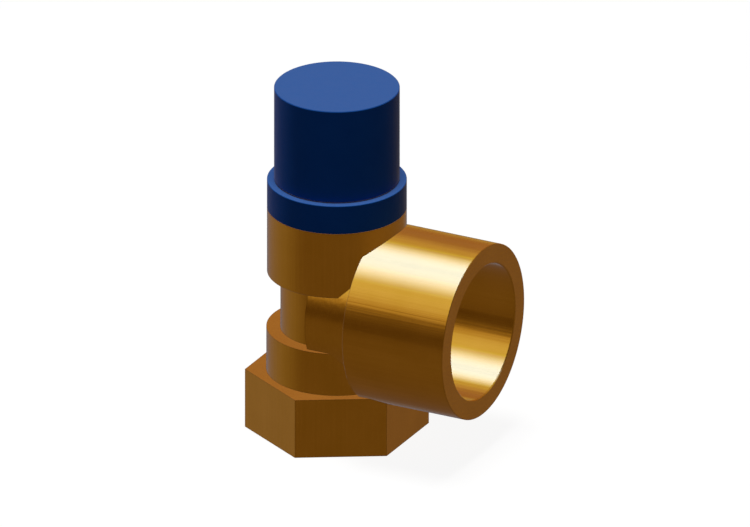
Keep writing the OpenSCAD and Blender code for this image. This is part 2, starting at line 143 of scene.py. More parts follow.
def add_node(tree, kind, inputs=None, **options):
    """Adds a node, sets its options, and fills its sockets with numbers or with links."""
    node = tree.nodes.new(kind)
    for name, value in options.items():
        setattr(node, name, value)
    for socket, value in (inputs or {}).items():
        if isinstance(value, bpy.types.NodeSocket):
            tree.links.new(value, node.inputs[socket])
        else:
            node.inputs[socket].default_value = value
    return node


def set_shader(shader, **numbers):
    """Sets constants on the Principled shader: an underscore stands for a space."""
    for name, value in numbers.items():
        shader.inputs[name.replace("_", " ")].default_value = value


def maths(tree, operation, first, second=0.0):
    """One step of arithmetic on two sockets or numbers."""
    return add_node(
        tree, "ShaderNodeMath", {0: first, 1: second}, operation=operation
    ).outputs[0]


def between(tree, value, low, high, out_low=0.0, out_high=1.0):
    """Maps the range low..high of a socket to out_low..out_high, and clamps it there."""
    return add_node(tree, "ShaderNodeMapRange", {
        "Value": value, "From Min": low, "From Max": high,
        "To Min": out_low, "To Max": out_high,
    }).outputs["Result"]


print("helpers for materials are ready")

# %% [markdown]
# ## Patterns in the metal's own coordinates
# A turned face carries fine rings, a drawn or polished one carries streaks, and any metal has a
# little cloudiness. All three are noise that is stretched in some direction. Because each object
# sits at the origin, its Object coordinates are millimetres on the valve, so the rings can be
# centred on the real axis. `rings` adds the distance from the axis to the distance along it: on
# a cylinder only the second changes, on an end face only the first, so one pattern suits both.
# `spread` stretches a noise to the range that a finish wants.
# An edge helper finds corners and creases by rounding the surface's normal; it marks wear on the
# plastic and a thin line of painted shade on the brass. `blend` mixes two colours, and `bump`
# turns a height into a normal, for marks that are too fine to be modelled.

# %% Write the patterns
def place(tree):
    """The point on the valve, and its x, y and z."""
    point = add_node(tree, "ShaderNodeTexCoord").outputs["Object"]
    xyz = add_node(tree, "ShaderNodeSeparateXYZ", {0: point})
    return point, xyz.outputs


def clouds(tree, point, size, detail=3.0, stretch=(1, 1, 1)):
    """Soft noise, with patches of about the given size in metres, stretched along an axis."""
    scaled = add_node(
        tree, "ShaderNodeVectorMath", {0: point, 1: stretch}, operation="MULTIPLY"
    ).outputs[0]
    return add_node(
        tree, "ShaderNodeTexNoise", {"Vector": scaled, "Scale": 1 / size, "Detail": detail}
    ).outputs["Fac"]


def spread(tree, noise, out_low=0.0, out_high=1.0):
    """Maps a noise to a range. Nearly all of a noise lies between 0.3 and 0.7."""
    return between(tree, noise, 0.3, 0.7, out_low, out_high)


def distance_from_axis(tree, across, height, axis_height=0.0):
    """Distance of a point from a straight axis, from its two coordinates across that axis."""
    above = maths(tree, "SUBTRACT", height, axis_height)
    across_square = maths(tree, "MULTIPLY", across, across)
    above_square = maths(tree, "MULTIPLY", above, above)
    return maths(tree, "SQRT", maths(tree, "ADD", across_square, above_square))


def rings(tree, along, radius, pitch):
    """Fine tool marks round an axis, with about the given pitch in metres."""
    path = maths(tree, "ADD", along, radius)
    return add_node(tree, "ShaderNodeTexNoise", {
        "W": maths(tree, "DIVIDE", path, pitch), "Scale": 1.0, "Detail": 2.0,
    }, noise_dimensions="1D").outputs["Fac"]


# Cosine between the rounded normal and the real one
EDGE_STARTS, EDGE_FULL = 0.98, 0.8


def edge_for_wear_and_shade(tree, radius):
    """1 where the surface turns within a small radius, and 0 on flat ground."""
    bevel = add_node(tree, "ShaderNodeBevel", {"Radius": radius}, samples=4).outputs[0]
    flat = add_node(tree, "ShaderNodeNewGeometry").outputs["Normal"]
    same = add_node(
        tree, "ShaderNodeVectorMath", {0: bevel, 1: flat}, operation="DOT_PRODUCT"
    ).outputs["Value"]
    return between(tree, same, EDGE_STARTS, EDGE_FULL)


def blend(tree, share, first, second, label=""):
    """A colour between two, by a share. Each colour is a socket or three numbers."""
    mix = add_node(tree, "ShaderNodeMix", {0: share}, data_type="RGBA", label=label)
    sockets = [socket for socket in mix.inputs if socket.type == "RGBA"]
    for socket, colour in zip(sockets, (first, second)):
        if isinstance(colour, bpy.types.NodeSocket):
            tree.links.new(colour, socket)
        else:
            socket.default_value = (*colour, 1)
    return next(socket for socket in mix.outputs if socket.type == "RGBA")


def bump(tree, height, strength, depth):
    """A surface normal that follows a height, with its depth in metres."""
    return add_node(
        tree, "ShaderNodeBump", {"Strength": strength, "Distance": depth, "Height": height}
    ).outputs["Normal"]


print("patterns are ready")

# %% [markdown]
# ## Where the body's tools went
# One material covers the whole forging, so its tree has to know which part a point is on. The
# outlet's hub lies past a plane across +X and above the hexagon. The passage and the chamber
# inside stay as they were cut and are rougher, because no polishing mop reaches them, and they
# are darkened as painted shade of the deep recess. Separate materials on groups of faces could do
# the same, but a CAD mesh may not be changed, and coordinates also give a soft border.

# %% Find the parts of the body
PASSAGE_R, PASSAGE_END_X = 8.5 * MM, 19.1 * MM
CHAMBER_R, INLET_END_Z = 10.1 * MM, 13.0 * MM
BORDER = 0.1 * MM
STREAK_STRETCH = 0.012


def on_the_hub(tree, x, z):
    """1 on the outlet's hub and 0 elsewhere."""
    past_back = between(tree, x, HUB_BACK_X - BORDER, HUB_BACK_X)
    hub_foot = HEXAGON_TOP_Z - 4 * MM
    return maths(tree, "MULTIPLY", past_back, between(tree, z, hub_foot, hub_foot + BORDER))


def inside_of_body(tree, x, hub_r, pipe_r, z):
    """1 on the walls of the passage and the chamber, and 0 elsewhere."""
    def under(value, limit):
        return between(tree, value, limit - BORDER / 2, limit + BORDER / 2, 1.0, 0.0)
    along = maths(
        tree, "MULTIPLY", between(tree, x, 0.0, BORDER), under(x, PASSAGE_END_X - BORDER)
    )
    passage = maths(tree, "MULTIPLY", under(hub_r, PASSAGE_R + BORDER), along)
    over_inlet = between(tree, z, INLET_END_Z, INLET_END_Z + BORDER)
    chamber = maths(tree, "MULTIPLY", under(pipe_r, CHAMBER_R + BORDER), over_inlet)
    return maths(tree, "MAXIMUM", passage, chamber)


def along_part(tree, point, on_hub, size):
    """Streaks of about the given width that run along the hub, or upright elsewhere."""
    upright = clouds(tree, point, size, stretch=(1, 1, STREAK_STRETCH))
    lying = clouds(tree, point, size, stretch=(STREAK_STRETCH, 1, 1))
    return add_node(tree, "ShaderNodeMix", {0: on_hub, 2: upright, 3: lying}).outputs[0]


print("streaks are about", round(1 / STREAK_STRETCH), "times as long as wide")

# %% [markdown]
# ## Brass of the body
# The body is one brass forging that is machined, then polished until it mirrors the room. Most
# of a polished metal's look is what it reflects. The finish is only a warm base and a low
# roughness, and the room, which is painted further on, draws the bright and dark bands. Over
# that come three faint things that make it metal and not paint: streaks of polishing along each
# round part, the rings of the lathe, and slow changes of tone. With the streaks go long, shallow
# waves of the surface, which fray the edges of each mirrored band. Along each edge and crease
# runs a thin darker line of painted shade, and the inner walls get painted shade as well.
# A clear coat stands for the lacquer that keeps brass from going dull. It is as smooth as glass,
# and the bright strip that it mirrors turns the brightest band from gold to cream. Its IOR of 2.4
# is more than a real lacquer's 1.5. A coat that reflects more needs a less bright strip, and the
# less bright the strip is, the fewer speckles it leaves in the render.

# %% Mix the body's brass
DEEP_BRASS, PALE_BRASS = (0.627, 0.332, 0.0214), (0.708, 0.383, 0.0353)
STREAK_WIDTH, WAVE_WIDTH = 0.35 * MM, 0.7 * MM
RING_PITCH, PATCH_SIZE = 0.12 * MM, 9 * MM
# How much patches and streaks change the tone, and over what range of the streaks' noise
PATCH_TONE, STREAK_TONE, STREAK_RANGE = 0.6, 0.4, (0.35, 0.65)
POLISHED_LOW, POLISHED_HIGH, CLOUDINESS = 0.165, 0.205, 0.012
# The waves' depth and strength, and the share of it for the rings and streaks
WAVE_DEPTH, WAVE_STRENGTH, MARK_SHARE, STREAK_MARK = 0.04 * MM, 0.8, 0.01, 0.6
BRASS_EDGE_R, BRASS_EDGE_SHADE = 0.4 * MM, 0.55
RECESS_SHADE, RAW_ROUGHER = 0.45, 0.34
LACQUER_WEIGHT, LACQUER_IOR = 0.5, 2.4


def body_brass():
    material, tree, shader = new_finish("polished_brass")
    point, xyz = place(tree)
    x, y, z = xyz["X"], xyz["Y"], xyz["Z"]
    on_hub = on_the_hub(tree, x, z)
    streaks = along_part(tree, point, on_hub, STREAK_WIDTH)
    waves = along_part(tree, point, on_hub, WAVE_WIDTH)
    hub_r = distance_from_axis(tree, y, z, OUTLET_AXIS_Z)
    pipe_r = distance_from_axis(tree, x, y)
    turned = add_node(tree, "ShaderNodeMix", {
        0: on_hub,
        2: rings(tree, z, pipe_r, RING_PITCH),
        3: rings(tree, x, hub_r, RING_PITCH),
    }).outputs[0]
    patches = clouds(tree, point, PATCH_SIZE, detail=4.0)
    # The inner walls: rougher because unpolished, and darkened as painted shade of the recess.
    unpolished_and_shaded = inside_of_body(tree, x, hub_r, pipe_r, z)

    tone = maths(
        tree, "ADD", spread(tree, patches, 0.0, PATCH_TONE),
        between(tree, streaks, *STREAK_RANGE, 0.0, STREAK_TONE),
    )
    # Painted shade: the colour is darkened in a thin line along every edge and crease.
    edge = edge_for_wear_and_shade(tree, BRASS_EDGE_R)
    value = maths(
        tree, "SUBTRACT", between(tree, edge, 0.0, 1.0, 1.0, BRASS_EDGE_SHADE),
        maths(tree, "MULTIPLY", unpolished_and_shaded, RECESS_SHADE),
    )
    colour = add_node(tree, "ShaderNodeHueSaturation", {
        "Color": blend(tree, tone, DEEP_BRASS, PALE_BRASS), "Value": value,
    }).outputs["Color"]
    tree.links.new(colour, shader.inputs["Base Color"])

    polished = maths(
        tree, "ADD", spread(tree, streaks, POLISHED_LOW, POLISHED_HIGH),
        spread(tree, patches, -CLOUDINESS, CLOUDINESS),
    )
    rough = maths(tree, "ADD", polished, maths(tree, "MULTIPLY", unpolished_and_shaded, RAW_ROUGHER))
    tree.links.new(rough, shader.inputs["Roughness"])

    marks = maths(tree, "ADD", maths(tree, "MULTIPLY", streaks, STREAK_MARK), turned)
    relief = maths(tree, "ADD", maths(tree, "MULTIPLY", marks, MARK_SHARE), waves)
    tree.links.new(bump(tree, relief, WAVE_STRENGTH, WAVE_DEPTH), shader.inputs["Normal"])
    set_shader(
        shader, Metallic=1.0, Coat_Weight=LACQUER_WEIGHT, Coat_Roughness=0.0,
        Coat_IOR=LACQUER_IOR,
    )
    return material


brass = body_brass()
print("brass of the body has", len(brass.node_tree.nodes), "nodes")

# %% [markdown]
# ## Blue plastic of the bonnet and cap
# The bonnet and the cap are moulded from nylon, deep blue and satin. Plastic shows its colour by
# light that goes in and comes out again, so its base colour is the colour that is written. The
# mould's face leaves a fine grain, handling leaves soft scuffs that are a little glossier, and
# sharp corners wear slightly lighter. Faces that look up are painted paler, as painted light from
# overhead: the tree blends in a lighter tone by the upward part of the surface's normal. It
# follows the valve and not the camera, so it holds in every view. The ledge round the cap's foot
# is painted palest, as painted light that lifts the cap's shade off it. The shine is weak, because
# a strong one would lay the light of the room over the dark sides and turn them grey.

# %% Mix the blue plastic
DEEP_BLUE, MOTTLED_BLUE = (0.0020, 0.056, 0.282), (0.0035, 0.062, 0.300)
TOP_LIT_BLUE, LEDGE_LIT_BLUE = (0.033, 0.108, 0.345), (0.037, 0.140, 0.450)
CAP_FOOT_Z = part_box("cap")[0].z
LEDGE_FULL_Z, LEDGE_END_Z = CAP_FOOT_Z + 0.5 * MM, CAP_FOOT_Z + 1.0 * MM
LEVEL_STARTS, LEVEL_FULL = 0.6, 0.95
GRAIN_SIZE, MOTTLE_SIZE, SCUFF_SIZE = 0.12 * MM, 5 * MM, 2.2 * MM
GRAIN_DEPTH, SATIN, RUBBED = 0.004 * MM, 0.40, 0.30
BLUE_EDGE_R, BLUE_EDGE_VALUE = 0.2 * MM, 1.12
WEAK_SHINE = 0.045


def blue_nylon():
    material, tree, shader = new_finish("moulded_blue")
    point, xyz = place(tree)
    grain = clouds(tree, point, GRAIN_SIZE, detail=2.0)
    mottle = clouds(tree, point, MOTTLE_SIZE, detail=4.0)
    scuffs = clouds(tree, point, SCUFF_SIZE, detail=5.0, stretch=(1, 1, 0.35))
    edge = edge_for_wear_and_shade(tree, BLUE_EDGE_R)
    deep = blend(tree, spread(tree, mottle), DEEP_BLUE, MOTTLED_BLUE)
    # Painted light: faces that look up are blended paler, and the ledge at the cap's foot palest.
    normal = add_node(tree, "ShaderNodeNewGeometry").outputs["Normal"]
    facing_up = add_node(tree, "ShaderNodeSeparateXYZ", {0: normal}).outputs["Z"]
    ledge = between(tree, xyz["Z"], LEDGE_FULL_Z, LEDGE_END_Z, 1.0, 0.0)
    pale = blend(tree, ledge, TOP_LIT_BLUE, LEDGE_LIT_BLUE)
    level = between(tree, facing_up, LEVEL_STARTS, LEVEL_FULL)
    colour = add_node(tree, "ShaderNodeHueSaturation", {
        "Color": blend(tree, level, deep, pale),
        "Value": between(tree, edge, 0.0, 1.0, 1.0, BLUE_EDGE_VALUE),
    }).outputs["Color"]
    tree.links.new(colour, shader.inputs["Base Color"])
    satin = between(tree, scuffs, 0.3, 0.75, SATIN, RUBBED)
    tree.links.new(satin, shader.inputs["Roughness"])
    tree.links.new(bump(tree, grain, 0.3, GRAIN_DEPTH), shader.inputs["Normal"])
    set_shader(shader, Specular_IOR_Level=WEAK_SHINE)
    return material


blue = blue_nylon()
print("blue plastic has", len(blue.node_tree.nodes), "nodes")

# %% [markdown]
# ## Metals inside the valve
# The inner pieces are bar-turned brass, stainless steel, zinc-plated steel and spring steel. They
# differ in tone, in roughness and in how cloudy they are, but each one is turned round the
# valve's main axis. So one recipe makes all four, with the differences as its arguments. A
# separate tree for each would say the same thing four times.

# %% Mix the inner metals
def turned_metal(name, low, high, rough, pitch, mark_depth, cloud_size):
    material, tree, shader = new_finish(name)
    point, xyz = place(tree)
    marks = rings(tree, xyz["Z"], distance_from_axis(tree, xyz["X"], xyz["Y"]), pitch)
    patches = clouds(tree, point, cloud_size, detail=4.0)
    tone = maths(tree, "ADD", spread(tree, patches, 0.0, 0.7), spread(tree, marks, 0.0, 0.3))
    tree.links.new(blend(tree, tone, low, high), shader.inputs["Base Color"])
    cloudy = spread(tree, patches, rough - 0.04, rough + 0.04)
    tree.links.new(cloudy, shader.inputs["Roughness"])
    tree.links.new(bump(tree, marks, 0.4, mark_depth), shader.inputs["Normal"])
    set_shader(shader, Metallic=1.0)
    return material


inner_brass = turned_metal(
    "turned_brass", low=(0.58, 0.34, 0.09), high=(0.70, 0.44, 0.14),
    rough=0.22, pitch=0.15 * MM, mark_depth=0.003 * MM, cloud_size=4 * MM,
)
stainless = turned_metal(
    "stainless", low=(0.56, 0.56, 0.57), high=(0.66, 0.66, 0.67),
    rough=0.20, pitch=0.10 * MM, mark_depth=0.002 * MM, cloud_size=3 * MM,
)
zinc = turned_metal(
    "zinc_plated", low=(0.50, 0.52, 0.55), high=(0.66, 0.66, 0.65),
    rough=0.34, pitch=0.20 * MM, mark_depth=0.002 * MM, cloud_size=1.5 * MM,
)
spring_steel = turned_metal(
    "spring_steel", low=(0.36, 0.36, 0.37), high=(0.48, 0.48, 0.49),
    rough=0.30, pitch=0.08 * MM, mark_depth=0.002 * MM, cloud_size=2 * MM,
)
print("inner metals:", [m.name for m in (inner_brass, stainless, zinc, spring_steel)])

# %% [markdown]
# ## Rubber, gasket and white plastic
# The diaphragm and the seal are black rubber: dark, matt and slightly dusty with chalk from the
# mould. The gasket is pressed fibre, so its specks are coarser and deeper and look like felt. The
# bush is white fluoroplastic, which lets some light in, so it has a little subsurface scatter.

# %% Mix the soft finishes
def soft_finish(name, low, high, rough, speck, depth, **numbers):
    material, tree, shader = new_finish(name)
    point, xyz = place(tree)
    specks = clouds(tree, point, speck, detail=5.0)
    patches = clouds(tree, point, 12 * speck, detail=3.0)
    tone = maths(tree, "ADD", spread(tree, specks, 0.0, 0.5), spread(tree, patches, 0.0, 0.5))
    tree.links.new(blend(tree, tone, low, high), shader.inputs["Base Color"])
    speckled = spread(tree, specks, rough - 0.06, rough + 0.06)
    tree.links.new(speckled, shader.inputs["Roughness"])
    tree.links.new(bump(tree, specks, 0.5, depth), shader.inputs["Normal"])
    set_shader(shader, **numbers)
    return material


rubber = soft_finish(
    "black_rubber", low=(0.012, 0.012, 0.013), high=(0.030, 0.030, 0.031),
    rough=0.62, speck=0.2 * MM, depth=0.01 * MM, Sheen_Weight=0.1,
)
fibre = soft_finish(
    "gasket_fibre", low=(0.16, 0.11, 0.07), high=(0.27, 0.20, 0.13),
    rough=0.8, speck=0.25 * MM, depth=0.03 * MM,
)
fluoroplastic = soft_finish(
    "white_fluoroplastic", low=(0.74, 0.73, 0.70), high=(0.84, 0.83, 0.80),
    rough=0.42, speck=0.3 * MM, depth=0.005 * MM,
    Subsurface_Weight=0.08, Subsurface_Scale=0.5 * MM,
)
print("soft finishes:", [m.name for m in (rubber, fibre, fluoroplastic)])

# %% [markdown]
# ## Give each piece its finish
# A CAD piece already has one material slot. Its finish goes there, and its shape isn't touched.
# The list is ordered by material, as a parts list is.

# %% Dress the pieces
FINISHES = {
    "valve_body": brass,
    "bonnet": blue, "cap": blue,
    "seat_nozzle": stainless, "slip_ring": stainless, "spindle": stainless,
    "seal_screw": zinc, "nut_washer": zinc, "spindle_nut": zinc,
    "upper_spring_plate": zinc, "lift_nut": zinc,
    "seal_washer": inner_brass, "disc_holder": inner_brass, "spring_plate": inner_brass,
    "adjusting_screw": inner_brass, "lock_ring": inner_brass,
    "disc_seal": rubber, "diaphragm": rubber,
    "spring": spring_steel, "seat_gasket": fibre, "guide_bush": fluoroplastic,
}
for name, finish in FINISHES.items():
    slots = nodes[name].data.materials
    slots.clear()
    slots.append(finish)
print("dressed", len(FINISHES), "of", len(nodes), "pieces")

# %% [markdown]
# ## A helper for new meshes
# The new pieces are tubes: a closed outline that is carried along a path of stations. Curves with
# a bevel could do it, but a mesh of our own lets the outline grow, fade or be ground flat on the
# way. `tube` joins each station to the next and closes both ends.

# %% Write the tube maker
def tube(name, stations, finish):
    """A closed skin over a list of stations, each a list of points in the same order."""
    sides = len(stations[0])
    points = [p for station in stations for p in station]
    faces = [
        (a * sides + s, a * sides + (s + 1) % sides,
         (a + 1) * sides + (s + 1) % sides, (a + 1) * sides + s)
        for a in range(len(stations) - 1) for s in range(sides)
    ]
    faces.append(tuple(reversed(range(sides))))
    faces.append(tuple(range(len(points) - sides, len(points))))
    mesh = bpy.data.meshes.new(name)
    mesh.from_pydata(points, [], faces)
    mesh.validate()
    piece = bpy.data.objects.new(name, mesh)
    bpy.context.scene.collection.objects.link(piece)
    mesh.materials.append(finish)
    print(name, "has", len(points), "points and", len(mesh.polygons), "faces")
    return piece


def shade_smooth(piece, crease_degrees):
    """Smooth shading, but with a crease where two faces meet at more than an angle."""
    piece.data.shade_smooth()
    piece.data.set_sharp_from_angle(angle=math.radians(crease_degrees))


print("tube maker is ready")

# %% [markdown]
# ## The thread in the inlet
# A pipe screws into the hexagon. The CAD bore is as wide as the pipe's thread over its crests, so
# the pipe fits in; what is missing is the female thread that stands in from the bore's wall. It is
# a 3/4 inch pipe thread: 14 turns to the inch, flanks at 55 degrees with rounded crests, and
# 1.16 mm deep. A texture of stripes would look wrong at the mouth, where the ridge is seen from
# its end, so it is a real ridge: its outline is carried up a right-handed helix, and it grows out
# of the wall at the mouth and sinks into it again at the far end, as a tap leaves it.

# %% Cut the inlet's thread
THREAD_PITCH = 25.4 * MM / 14
THREAD_DEPTH = 1.162 * MM
BORE_R = 13.2 * MM
THREAD_BOTTOM_Z, THREAD_TOP_Z = 1.5 * MM, 11.9 * MM
STEPS_PER_TURN = 72
SUNK = 0.12 * MM
# Share of the pitch across the ridge, and share of the depth at that place
THREAD_OUTLINE = [
    (0.03, 0.0), (0.11, 0.03), (0.17, 0.13), (0.37, 0.86), (0.43, 0.97), (0.5, 1.0),
    (0.57, 0.97), (0.63, 0.86), (0.83, 0.13), (0.89, 0.03), (0.97, 0.0),
]


def thread_station(turn, fade):
    """The ridge's outline at a turn, with its height scaled by fade."""
    angle = 2 * math.pi * turn
    foot_z = THREAD_BOTTOM_Z + THREAD_PITCH * (turn - 0.5)
    foot_r = BORE_R + 0.01 * MM
    outline = [(share, foot_r - THREAD_DEPTH * fade * h) for share, h in THREAD_OUTLINE]
    outline += [(0.97, BORE_R + SUNK), (0.03, BORE_R + SUNK)]
    return [
        (r * math.cos(angle), r * math.sin(angle), foot_z + share * THREAD_PITCH)
        for share, r in outline
    ]


thread_turns = (THREAD_TOP_Z - THREAD_BOTTOM_Z) / THREAD_PITCH
thread_steps = int(thread_turns * STEPS_PER_TURN)
last_turn = thread_steps / STEPS_PER_TURN
FADE_TURNS = 0.45
thread_stations = []
for step in range(thread_steps + 1):
    turn = step / STEPS_PER_TURN
    fade = min(1.0, turn / FADE_TURNS, (last_turn - turn) / FADE_TURNS)
    thread_stations.append(thread_station(turn, 0.02 + 0.98 * math.sin(fade * math.pi / 2)))
inlet_thread = tube("inlet_thread", thread_stations, brass)
shade_smooth(inlet_thread, 50)
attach(inlet_thread, "housing")
print("thread:", round(thread_turns, 2), "turns of", round(THREAD_PITCH * 1000, 3), "mm")

# %% [markdown]
# ## The spring
# The spring holds the disc on its seat. It is 2 mm wire with four open coils between closed ends,
# and each end is ground flat so that it stands square. The CAD spring has a ten-sided wire to stay
# light. This one has a round wire, and its ends are ground by a simple trick: points that would
# pass the end plane are pressed onto it. When the disc lifts, the real spring gets shorter, but
# this one keeps its length.

# %% Wind the spring
spring_low, spring_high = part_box("spring")
WIRE_R = 1.0 * MM
COIL_R = 7.2 * MM
ACTIVE_COILS, CLOSED_PITCH = 4, 2.12 * MM
WIRE_SIDES, WIRE_STEPS = 20, 60
spring_length = spring_high.z - spring_low.z
open_pitch = (spring_length - 2 * CLOSED_PITCH) / ACTIVE_COILS


def wire_height(turn):
    """Height of the wire's middle above the spring's foot, after a number of turns."""
    if turn < 1:
        return CLOSED_PITCH * turn
    if turn < ACTIVE_COILS + 1:
        return CLOSED_PITCH + open_pitch * (turn - 1)
    return spring_length - CLOSED_PITCH * (ACTIVE_COILS + 2 - turn)


def wire_station(turn):
    """A ring of points round the wire, with those past an end plane pressed onto it."""
    angle = 2 * math.pi * turn
    station = []
    for side in range(WIRE_SIDES):
        around = -2 * math.pi * side / WIRE_SIDES
        r = COIL_R + WIRE_R * math.cos(around)
        z = wire_height(turn) + WIRE_R * math.sin(around)
        z = min(max(z, 0.0), spring_length)
        station.append((r * math.cos(angle), r * math.sin(angle), spring_low.z + z))
    return station


wire_count = (ACTIVE_COILS + 2) * WIRE_STEPS
spring_wire = tube(
    "spring_wire", [wire_station(i / WIRE_STEPS) for i in range(wire_count + 1)], spring_steel
)
shade_smooth(spring_wire, 40)
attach(spring_wire, "housing")
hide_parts("spring")
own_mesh(spring_wire)
print("spring:", round(spring_length / MM, 2), "mm long, open pitch", round(open_pitch / MM, 2))

# %% [markdown]
# ## The diaphragm
# The diaphragm is a dished sheet of rubber. Its rim is clamped under the bonnet and its middle
# rides on the disc, so it bends when the disc lifts. A cloth simulation would be the full answer,
# and a dish that only gets shallower could be drawn by flattening it towards its rim. Here the
# piece is only a copy of the CAD mesh, which keeps its shape, and the CAD piece is hidden.

# %% Copy the diaphragm
diaphragm_sheet = bpy.data.objects.new("diaphragm_sheet", nodes["diaphragm"].data.copy())
bpy.context.scene.collection.objects.link(diaphragm_sheet)
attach(diaphragm_sheet, "housing")
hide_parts("diaphragm")
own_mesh(diaphragm_sheet)

# %% [markdown]
# ## The floor
# The valve stands on a plain white floor. If the white came from strong lamps, the valve would be
# too bright, so most of it comes from the floor itself, which the camera sees glow. The rest of
# that white is real, lit paint, so the valve still casts a soft shadow. Reflections pass the
# floor by and see the lower half of the room instead, which is painted further on.

# %% Lay the floor
FLOOR_HALF, FLOOR_DROP = 1.5, 0.02 * MM
floor_mesh = bpy.data.meshes.new("floor")
floor_mesh.from_pydata(
    [(x * FLOOR_HALF, y * FLOOR_HALF, 0) for x, y in ((-1, -1), (1, -1), (1, 1), (-1, 1))],
    [], [(0, 1, 2, 3)],
)
floor = bpy.data.objects.new("floor", floor_mesh)
floor.location.z = -FLOOR_DROP
floor.visible_glossy = False
bpy.context.scene.collection.objects.link(floor)
print("floor is", 2 * FLOOR_HALF, "m wide")

# %% [markdown]
# ## Paint for the floor
# A Light Path node tells what kind of ray meets the floor. The camera sees the glow and the lit
# paint. Rays that carry light to the plastic see only a dim grey, because a white floor would
# light the sides of the cap from below. From below, the floor is clear, so that the inlet can be
# looked at too.

# %% Paint the floor
FLOOR_GLOW, FLOOR_LIT, FLOOR_GREY = 0.915, 0.12, 0.10


def ray_kinds(tree):
    """Whether a ray comes from the camera, and whether from a shine or a clear refraction."""
    path = add_node(tree, "ShaderNodeLightPath").outputs
    shine = maths(tree, "MAXIMUM", path["Is Glossy Ray"], path["Is Transmission Ray"])
    return path["Is Camera Ray"], shine


def matt_grey(tree, grey):
    """A plain diffuse paint."""
    return add_node(tree, "ShaderNodeBsdfDiffuse", {"Color": (grey, grey, grey, 1)}).outputs[0]


floor_paint = bpy.data.materials.new("white_floor")
floor_paint.use_nodes = True
floor_paint.cycles.emission_sampling = "NONE"
floor_tree = floor_paint.node_tree
floor_tree.nodes.clear()
glow = add_node(
    floor_tree, "ShaderNodeEmission", {"Color": (1, 1, 1, 1), "Strength": FLOOR_GLOW}
).outputs[0]
bright = add_node(
    floor_tree, "ShaderNodeAddShader", {0: glow, 1: matt_grey(floor_tree, FLOOR_LIT)}
).outputs[0]
from_camera, from_shine = ray_kinds(floor_tree)
in_sight = maths(floor_tree, "MAXIMUM", from_camera, from_shine)
surface = add_node(floor_tree, "ShaderNodeMixShader", {
    0: in_sight, 1: matt_grey(floor_tree, FLOOR_GREY), 2: bright,
}).outputs[0]
from_below = add_node(floor_tree, "ShaderNodeNewGeometry").outputs["Backfacing"]
clear = add_node(floor_tree, "ShaderNodeBsdfTransparent").outputs[0]
one_way = add_node(
    floor_tree, "ShaderNodeMixShader", {0: from_below, 1: surface, 2: clear}
).outputs[0]
add_node(floor_tree, "ShaderNodeOutputMaterial", {"Surface": one_way})
floor_mesh.materials.append(floor_paint)
print("floor's paint has", len(floor_tree.nodes), "nodes")

# %% [markdown]
# ## The room that the brass mirrors
# A mirror has no look of its own: it shows the room. Round the hub the reflection swings by twice
# the angle of the surface, so each zone of the room draws a band along the hub. The room is
# painted on the world, as zones of an angle that runs from the front (0 degrees, level) over the
# top (90) to the back (180), each one blended over those before it. The panels in front and
# overhead are about as bright as white paper and give the golden band, and those behind give the
# tone of the level faces. The rest of the room is dim and warm, because brass in a room that is
# white all round shows no dark bands and looks like paint.
# Upright faces mirror what lies below the level of the eye. There, two soft cards lighten the
# faces that turn left and right, as a photographer would do it, and a card far behind the valve
# gives the rims of its round parts their pale grey.
# Panels made of area lamps would give the same bands, but each needs a size and a place for every
# change of angle.

# %% Name the panels of the room
ROOM_TONE = (0.207, 0.138, 0.115)
# name, first and last angle, softness in degrees, light
ROOM_ZONES = [
    ("rear_skirting", -200, -162, 12, (0.70, 0.45, 0.09)),
    ("skyline", -7, 11, 5, (0.135, 0.082, 0.052)),
    ("front_foot", 25, 60, 8, (0.66, 0.46, 0.30)),
    ("front_panel", 35, 80, 14, (1.03, 1.04, 1.60)),
    ("top_panel", 62, 134, 8, (1.08, 1.27, 1.15)),
    ("strip_back", 82, 106, 10, (0.50, 0.76, 1.00)),
    ("rear_panel", 126, 149, 9, (0.82, 0.68, 0.60)),
    ("low_rear_panel", 144, 170, 8, (0.54, 0.325, 0.20)),
    ("rear_foot", 164, 200, 6, (0.52, 0.27, 0.08)),
]
# name, direction, cosines where it starts and is full, light
CARDS = [
    ("left_card", (-0.85, 0.35, -0.40), 0.2, 1.0, (0.35, 0.28, 0.30)),
    ("right_card", (0.85, 0.35, -0.40), 0.6, 1.0, (0.277, 0.185, 0.16)),
]
FAR_CARD = ("far_card", (-0.42, 0.81, -0.41), 0.88, 1.0, (0.30, 0.29, 0.36))
for name, first, last, softness, light in ROOM_ZONES:
    print(name, "from", first, "to", last, "degrees has the light", light)
for name, target, start, full, light in CARDS + [FAR_CARD]:
    print(name, "has the light", light)

# %% [markdown]
# ## Directions in the room
# The world's Generated coordinates are the direction of a ray. From it come the swing angle round
# the X axis and the closeness to a card. Steps between zones are smooth, because panels have soft
# edges in a polished but not perfect mirror.

# %% Write the helpers for directions
world = bpy.data.worlds.new("studio")
bpy.context.scene.world = world
world.use_nodes = True
world.cycles.sampling_method = "NONE"
room_tree = world.node_tree
background = next(n for n in room_tree.nodes if n.type == "BACKGROUND")
direction = add_node(room_tree, "ShaderNodeTexCoord").outputs["Generated"]
ray = add_node(room_tree, "ShaderNodeSeparateXYZ", {0: direction}).outputs
forwards = maths(room_tree, "MULTIPLY", ray["Y"], -1.0)
swing = maths(room_tree, "DEGREES", maths(room_tree, "ARCTAN2", ray["Z"], forwards))


def soft_step(value, low, high):
    """0 below low and 1 above high, with a soft change between."""
    return add_node(room_tree, "ShaderNodeMapRange", {
        "Value": value, "From Min": low, "From Max": high,
    }, interpolation_type="SMOOTHSTEP").outputs["Result"]


def towards(target):
    """1 for a ray that points at the target, falling to 0 at a right angle to it."""
    return add_node(
        room_tree, "ShaderNodeVectorMath", {0: direction, 1: Vector(target).normalized()},
        operation="DOT_PRODUCT"
    ).outputs["Value"]


print("rays are told apart by", swing.node.operation.lower(), "round the X axis")

